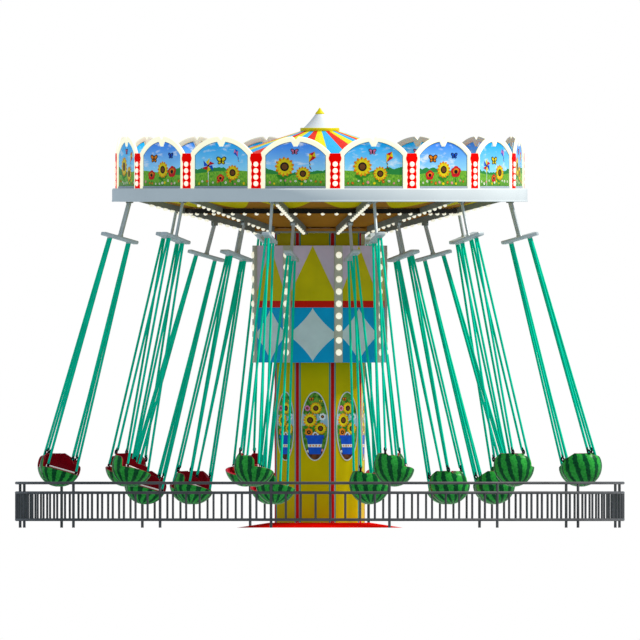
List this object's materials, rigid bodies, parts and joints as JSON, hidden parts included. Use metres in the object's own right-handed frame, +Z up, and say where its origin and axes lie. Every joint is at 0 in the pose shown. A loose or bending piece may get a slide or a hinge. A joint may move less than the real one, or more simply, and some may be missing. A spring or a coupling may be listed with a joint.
{
  "type": "chair swing ride",
  "caption": "Fairground swing ride: round striped canopy on an octagonal column, chain-hung melon-shaped seats and a ring fence.",
  "frame": {"origin": "on the ground at the column's axis, under the base plinth", "axes": "+Z up along the column, -Y to the front of the picture, +X to its right"},
  "size_m": [12.2052, 12.2052, 8.402],
  "materials": {
    "red_paint": "gloss",
    "yellow_paint": "gloss",
    "drum_paint": "gloss",
    "arm_paint": "satin",
    "ceiling_paint": "satin",
    "crown_paint": "gloss",
    "roof_paint": "satin",
    "cap_paint": "gloss",
    "fence_paint": "satin",
    "hanger_paint": "satin",
    "melon_paint": "gloss"
  },
  "bodies": {
    "base": {"base_plinth": "red_paint", "column": "yellow_paint", "drum_housing": "drum_paint", "fence_1": "fence_paint", "fence_2": "fence_paint", "fence_3": "fence_paint", "fence_4": "fence_paint"},
    "rotor": {"sweep_frame": "arm_paint", "ceiling": "ceiling_paint", "rounding_crown": "crown_paint", "roof_canopy": "roof_paint", "roof_cap": "cap_paint"},
    "chair_outer_01": {"hanger_outer_01": "hanger_paint", "seat_outer_01": "melon_paint"},
    "chair_outer_02": {"hanger_outer_02": "hanger_paint", "seat_outer_02": "melon_paint"},
    "chair_outer_03": {"hanger_outer_03": "hanger_paint", "seat_outer_03": "melon_paint"},
    "chair_outer_04": {"hanger_outer_04": "hanger_paint", "seat_outer_04": "melon_paint"},
    "chair_outer_05": {"hanger_outer_05": "hanger_paint", "seat_outer_05": "melon_paint"},
    "chair_outer_06": {"hanger_outer_06": "hanger_paint", "seat_outer_06": "melon_paint"},
    "chair_outer_07": {"hanger_outer_07": "hanger_paint", "seat_outer_07": "melon_paint"},
    "chair_outer_08": {"hanger_outer_08": "hanger_paint", "seat_outer_08": "melon_paint"},
    "chair_outer_09": {"hanger_outer_09": "hanger_paint", "seat_outer_09": "melon_paint"},
    "chair_outer_10": {"hanger_outer_10": "hanger_paint", "seat_outer_10": "melon_paint"},
    "chair_outer_11": {"hanger_outer_11": "hanger_paint", "seat_outer_11": "melon_paint"},
    "chair_outer_12": {"hanger_outer_12": "hanger_paint", "seat_outer_12": "melon_paint"},
    "chair_inner_01": {"hanger_inner_01": "hanger_paint", "seat_inner_01": "melon_paint"},
    "chair_inner_02": {"hanger_inner_02": "hanger_paint", "seat_inner_02": "melon_paint"},
    "chair_inner_03": {"hanger_inner_03": "hanger_paint", "seat_inner_03": "melon_paint"},
    "chair_inner_04": {"hanger_inner_04": "hanger_paint", "seat_inner_04": "melon_paint"},
    "chair_inner_05": {"hanger_inner_05": "hanger_paint", "seat_inner_05": "melon_paint"},
    "chair_inner_06": {"hanger_inner_06": "hanger_paint", "seat_inner_06": "melon_paint"},
    "chair_inner_07": {"hanger_inner_07": "hanger_paint", "seat_inner_07": "melon_paint"},
    "chair_inner_08": {"hanger_inner_08": "hanger_paint", "seat_inner_08": "melon_paint"},
    "chair_inner_09": {"hanger_inner_09": "hanger_paint", "seat_inner_09": "melon_paint"},
    "chair_inner_10": {"hanger_inner_10": "hanger_paint", "seat_inner_10": "melon_paint"},
    "chair_inner_11": {"hanger_inner_11": "hanger_paint", "seat_inner_11": "melon_paint"},
    "chair_inner_12": {"hanger_inner_12": "hanger_paint", "seat_inner_12": "melon_paint"}
  },
  "joints": [
    {"name": "rotor_spin", "type": "hinge", "parent": "base", "child": "rotor", "pos_m": [0, 0, 5.895], "axis": [0, 0, 1], "continuous": true},
    {"name": "swing_outer_01", "type": "hinge", "parent": "rotor", "child": "chair_outer_01", "pos_m": [1.08601, -3.78737, 6.53], "axis": [-0.9613, -0.2756, 0], "range_deg": [-15.36, 14.64]},
    {"name": "swing_outer_02", "type": "hinge", "parent": "rotor", "child": "chair_outer_02", "pos_m": [2.8342, -2.73695, 6.53], "axis": [-0.6947, -0.7193, 0], "range_deg": [-15.36, 14.64]},
    {"name": "swing_outer_03", "type": "hinge", "parent": "rotor", "child": "chair_outer_03", "pos_m": [3.82296, -0.95317, 6.53], "axis": [-0.2419, -0.9703, 0], "range_deg": [-15.36, 14.64]},
    {"name": "swing_outer_04", "type": "hinge", "parent": "rotor", "child": "chair_outer_04", "pos_m": [3.78737, 1.08601, 6.53], "axis": [0.2756, -0.9613, 0], "range_deg": [-15.36, 14.64]},
    {"name": "swing_outer_05", "type": "hinge", "parent": "rotor", "child": "chair_outer_05", "pos_m": [2.73695, 2.8342, 6.53], "axis": [0.7193, -0.6947, 0], "range_deg": [-15.36, 14.64]},
    {"name": "swing_outer_06", "type": "hinge", "parent": "rotor", "child": "chair_outer_06", "pos_m": [0.95317, 3.82296, 6.53], "axis": [0.9703, -0.2419, 0], "range_deg": [-15.36, 14.64]},
    {"name": "swing_outer_07", "type": "hinge", "parent": "rotor", "child": "chair_outer_07", "pos_m": [-1.08601, 3.78737, 6.53], "axis": [0.9613, 0.2756, 0], "range_deg": [-15.36, 14.64]},
    {"name": "swing_outer_08", "type": "hinge", "parent": "rotor", "child": "chair_outer_08", "pos_m": [-2.8342, 2.73695, 6.53], "axis": [0.6947, 0.7193, 0], "range_deg": [-15.36, 14.64]},
    {"name": "swing_outer_09", "type": "hinge", "parent": "rotor", "child": "chair_outer_09", "pos_m": [-3.82296, 0.95317, 6.53], "axis": [0.2419, 0.9703, 0], "range_deg": [-15.36, 14.64]},
    {"name": "swing_outer_10", "type": "hinge", "parent": "rotor", "child": "chair_outer_10", "pos_m": [-3.78737, -1.08601, 6.53], "axis": [-0.2756, 0.9613, 0], "range_deg": [-15.36, 14.64]},
    {"name": "swing_outer_11", "type": "hinge", "parent": "rotor", "child": "chair_outer_11", "pos_m": [-2.73695, -2.8342, 6.53], "axis": [-0.7193, 0.6947, 0], "range_deg": [-15.36, 14.64]},
    {"name": "swing_outer_12", "type": "hinge", "parent": "rotor", "child": "chair_outer_12", "pos_m": [-0.95317, -3.82296, 6.53], "axis": [-0.9703, 0.2419, 0], "range_deg": [-15.36, 14.64]},
    {"name": "swing_inner_01", "type": "hinge", "parent": "rotor", "child": "chair_inner_01", "pos_m": [0.60089, -2.09555, 6.077], "axis": [-0.9613, -0.2756, 0], "range_deg": [-15.36, 14.64]},
    {"name": "swing_inner_02", "type": "hinge", "parent": "rotor", "child": "chair_inner_02", "pos_m": [1.56816, -1.51435, 6.077], "axis": [-0.6947, -0.7193, 0], "range_deg": [-15.36, 14.64]},
    {"name": "swing_inner_03", "type": "hinge", "parent": "rotor", "child": "chair_inner_03", "pos_m": [2.11524, -0.52739, 6.077], "axis": [-0.2419, -0.9703, 0], "range_deg": [-15.36, 14.64]},
    {"name": "swing_inner_04", "type": "hinge", "parent": "rotor", "child": "chair_inner_04", "pos_m": [2.09555, 0.60089, 6.077], "axis": [0.2756, -0.9613, 0], "range_deg": [-15.36, 14.64]},
    {"name": "swing_inner_05", "type": "hinge", "parent": "rotor", "child": "chair_inner_05", "pos_m": [1.51435, 1.56816, 6.077], "axis": [0.7193, -0.6947, 0], "range_deg": [-15.36, 14.64]},
    {"name": "swing_inner_06", "type": "hinge", "parent": "rotor", "child": "chair_inner_06", "pos_m": [0.52739, 2.11524, 6.077], "axis": [0.9703, -0.2419, 0], "range_deg": [-15.36, 14.64]},
    {"name": "swing_inner_07", "type": "hinge", "parent": "rotor", "child": "chair_inner_07", "pos_m": [-0.60089, 2.09555, 6.077], "axis": [0.9613, 0.2756, 0], "range_deg": [-15.36, 14.64]},
    {"name": "swing_inner_08", "type": "hinge", "parent": "rotor", "child": "chair_inner_08", "pos_m": [-1.56816, 1.51435, 6.077], "axis": [0.6947, 0.7193, 0], "range_deg": [-15.36, 14.64]},
    {"name": "swing_inner_09", "type": "hinge", "parent": "rotor", "child": "chair_inner_09", "pos_m": [-2.11524, 0.52739, 6.077], "axis": [0.2419, 0.9703, 0], "range_deg": [-15.36, 14.64]},
    {"name": "swing_inner_10", "type": "hinge", "parent": "rotor", "child": "chair_inner_10", "pos_m": [-2.09555, -0.60089, 6.077], "axis": [-0.2756, 0.9613, 0], "range_deg": [-15.36, 14.64]},
    {"name": "swing_inner_11", "type": "hinge", "parent": "rotor", "child": "chair_inner_11", "pos_m": [-1.51435, -1.56816, 6.077], "axis": [-0.7193, 0.6947, 0], "range_deg": [-15.36, 14.64]},
    {"name": "swing_inner_12", "type": "hinge", "parent": "rotor", "child": "chair_inner_12", "pos_m": [-0.52739, -2.11524, 6.077], "axis": [-0.9703, 0.2419, 0], "range_deg": [-15.36, 14.64]}
  ],
  "couplings": [
    {"joint": "swing_inner_01", "follows": "swing_outer_01", "ratio": 1},
    {"joint": "swing_inner_02", "follows": "swing_outer_02", "ratio": 1},
    {"joint": "swing_inner_03", "follows": "swing_outer_03", "ratio": 1},
    {"joint": "swing_inner_04", "follows": "swing_outer_04", "ratio": 1},
    {"joint": "swing_inner_05", "follows": "swing_outer_05", "ratio": 1},
    {"joint": "swing_inner_06", "follows": "swing_outer_06", "ratio": 1},
    {"joint": "swing_inner_07", "follows": "swing_outer_07", "ratio": 1},
    {"joint": "swing_inner_08", "follows": "swing_outer_08", "ratio": 1},
    {"joint": "swing_inner_09", "follows": "swing_outer_09", "ratio": 1},
    {"joint": "swing_inner_10", "follows": "swing_outer_10", "ratio": 1},
    {"joint": "swing_inner_11", "follows": "swing_outer_11", "ratio": 1},
    {"joint": "swing_inner_12", "follows": "swing_outer_12", "ratio": 1}
  ]
}
